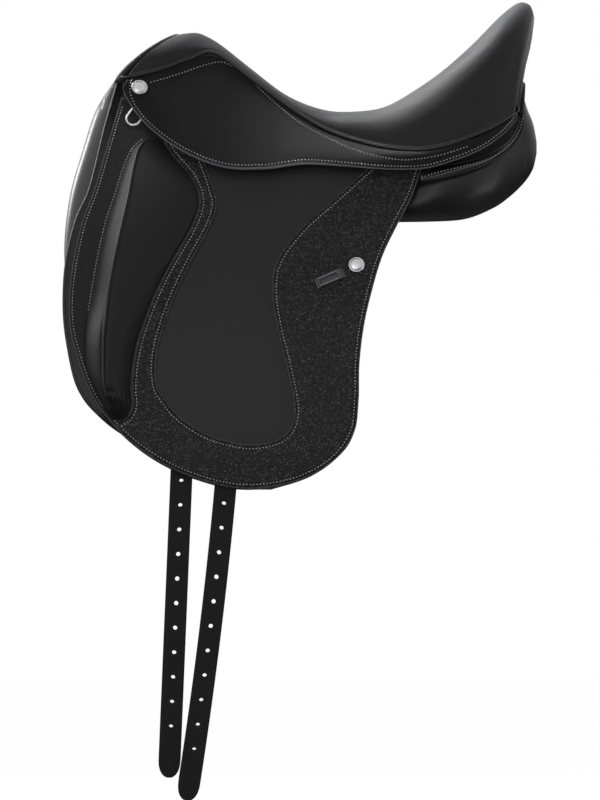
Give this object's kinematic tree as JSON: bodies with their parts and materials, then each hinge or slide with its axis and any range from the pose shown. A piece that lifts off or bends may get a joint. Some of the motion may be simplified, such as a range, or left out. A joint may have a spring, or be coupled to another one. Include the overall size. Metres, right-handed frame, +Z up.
{
  "type": "dressage saddle",
  "caption": "Deep-seated black leather dressage saddle with straight flaps, outside thigh blocks, long girth straps and hinged flaps over a sprung tree.",
  "frame": {"origin": "middle of the gullet, level with the lowest bearing line of the two panels", "axes": "+X towards the cantle, -Y the near side, +Z up"},
  "size_m": [0.5374, 0.445, 0.9081],
  "materials": {
    "smooth_leather": "smooth calf leather, soft sheen",
    "grained_leather": "pebbled leather, low sheen",
    "panel_leather": "soft smooth leather",
    "strap_leather": "waxed strap leather",
    "foam": "open foam",
    "webbing": "woven webbing",
    "tree_wood": "laminated beech",
    "steel": "plain steel",
    "nickel": "bright nickel plate"
  },
  "bodies": {
    "saddle": {"seat_cover": "smooth_leather", "cantle_facing": "smooth_leather", "pommel_facing": "smooth_leather", "cantle_welt": "smooth_leather", "seat_welt_left": "smooth_leather", "seat_welt_right": "smooth_leather", "skirt_left": "smooth_leather", "skirt_right": "smooth_leather", "dee_chape_left": "smooth_leather", "dee_chape_right": "smooth_leather", "panel_left": "panel_leather", "panel_right": "panel_leather", "panel_roll_left": "panel_leather", "panel_roll_right": "panel_leather", "sweat_flap_left": "panel_leather", "sweat_flap_right": "panel_leather", "seat_foam": "foam", "seat_web": "webbing", "girth_web_front_left": "webbing", "girth_web_front_right": "webbing", "girth_web_rear_left": "webbing", "girth_web_rear_right": "webbing", "tree": "tree_wood", "head_plate": "steel", "bar_rivets": "steel", "tree_spring_left": "steel", "tree_spring_right": "steel", "stirrup_bar_left": "steel", "stirrup_bar_right": "steel", "pommel_stud_left": "nickel", "pommel_stud_right": "nickel"},
    "flap_left": {"flap_left": "smooth_leather", "flap_overlay_left": "grained_leather", "thigh_block_left": "smooth_leather", "stirrup_keeper_left": "smooth_leather", "flap_stud_left": "nickel"},
    "front_strap_left": {"front_billet_left": "strap_leather"},
    "rear_strap_left": {"rear_billet_left": "strap_leather"},
    "dee_left": {"dee_ring_left": "nickel"},
    "catch_left": {"safety_catch_left": "steel"},
    "flap_right": {"flap_right": "smooth_leather", "flap_overlay_right": "grained_leather", "thigh_block_right": "smooth_leather", "stirrup_keeper_right": "smooth_leather", "flap_stud_right": "nickel"},
    "front_strap_right": {"front_billet_right": "strap_leather"},
    "rear_strap_right": {"rear_billet_right": "strap_leather"},
    "dee_right": {"dee_ring_right": "nickel"},
    "catch_right": {"safety_catch_right": "steel"}
  },
  "joints": [
    {"name": "flap_lift_left", "type": "hinge", "parent": "saddle", "child": "flap_left", "pos_m": [-0.222, -0.066, 0.125], "axis": [-0.9654, 0.1663, 0.2011], "range_deg": [0, 9]},
    {"name": "front_strap_swing_left", "type": "hinge", "parent": "saddle", "child": "front_strap_left", "pos_m": [-0.11872, -0.08139, 0.084], "axis": [0, 1, 0], "range_deg": [-4, 4]},
    {"name": "rear_strap_swing_left", "type": "hinge", "parent": "saddle", "child": "rear_strap_left", "pos_m": [-0.06378, -0.09763, 0.07], "axis": [0, 1, 0], "range_deg": [-4, 4]},
    {"name": "dee_swing_left", "type": "hinge", "parent": "saddle", "child": "dee_left", "pos_m": [-0.18178, -0.07773, 0.12425], "axis": [-0.7946, 0.3223, 0.5145], "range_deg": [-6, 18]},
    {"name": "catch_turn_left", "type": "hinge", "parent": "saddle", "child": "catch_left", "pos_m": [-0.075, -0.0653, 0.118], "axis": [0, -1, 0], "range_deg": [-60, 20]},
    {"name": "flap_lift_right", "type": "hinge", "parent": "saddle", "child": "flap_right", "pos_m": [-0.222, 0.066, 0.125], "axis": [0.9654, 0.1663, -0.2011], "range_deg": [0, 9]},
    {"name": "front_strap_swing_right", "type": "hinge", "parent": "saddle", "child": "front_strap_right", "pos_m": [-0.11872, 0.08139, 0.084], "axis": [0, 1, 0], "range_deg": [-4, 4]},
    {"name": "rear_strap_swing_right", "type": "hinge", "parent": "saddle", "child": "rear_strap_right", "pos_m": [-0.06378, 0.09763, 0.07], "axis": [0, 1, 0], "range_deg": [-4, 4]},
    {"name": "dee_swing_right", "type": "hinge", "parent": "saddle", "child": "dee_right", "pos_m": [-0.18178, 0.07773, 0.12425], "axis": [0.7946, 0.3223, -0.5145], "range_deg": [-6, 18]},
    {"name": "catch_turn_right", "type": "hinge", "parent": "saddle", "child": "catch_right", "pos_m": [-0.075, 0.0653, 0.118], "axis": [0, -1, 0], "range_deg": [-60, 20]}
  ]
}
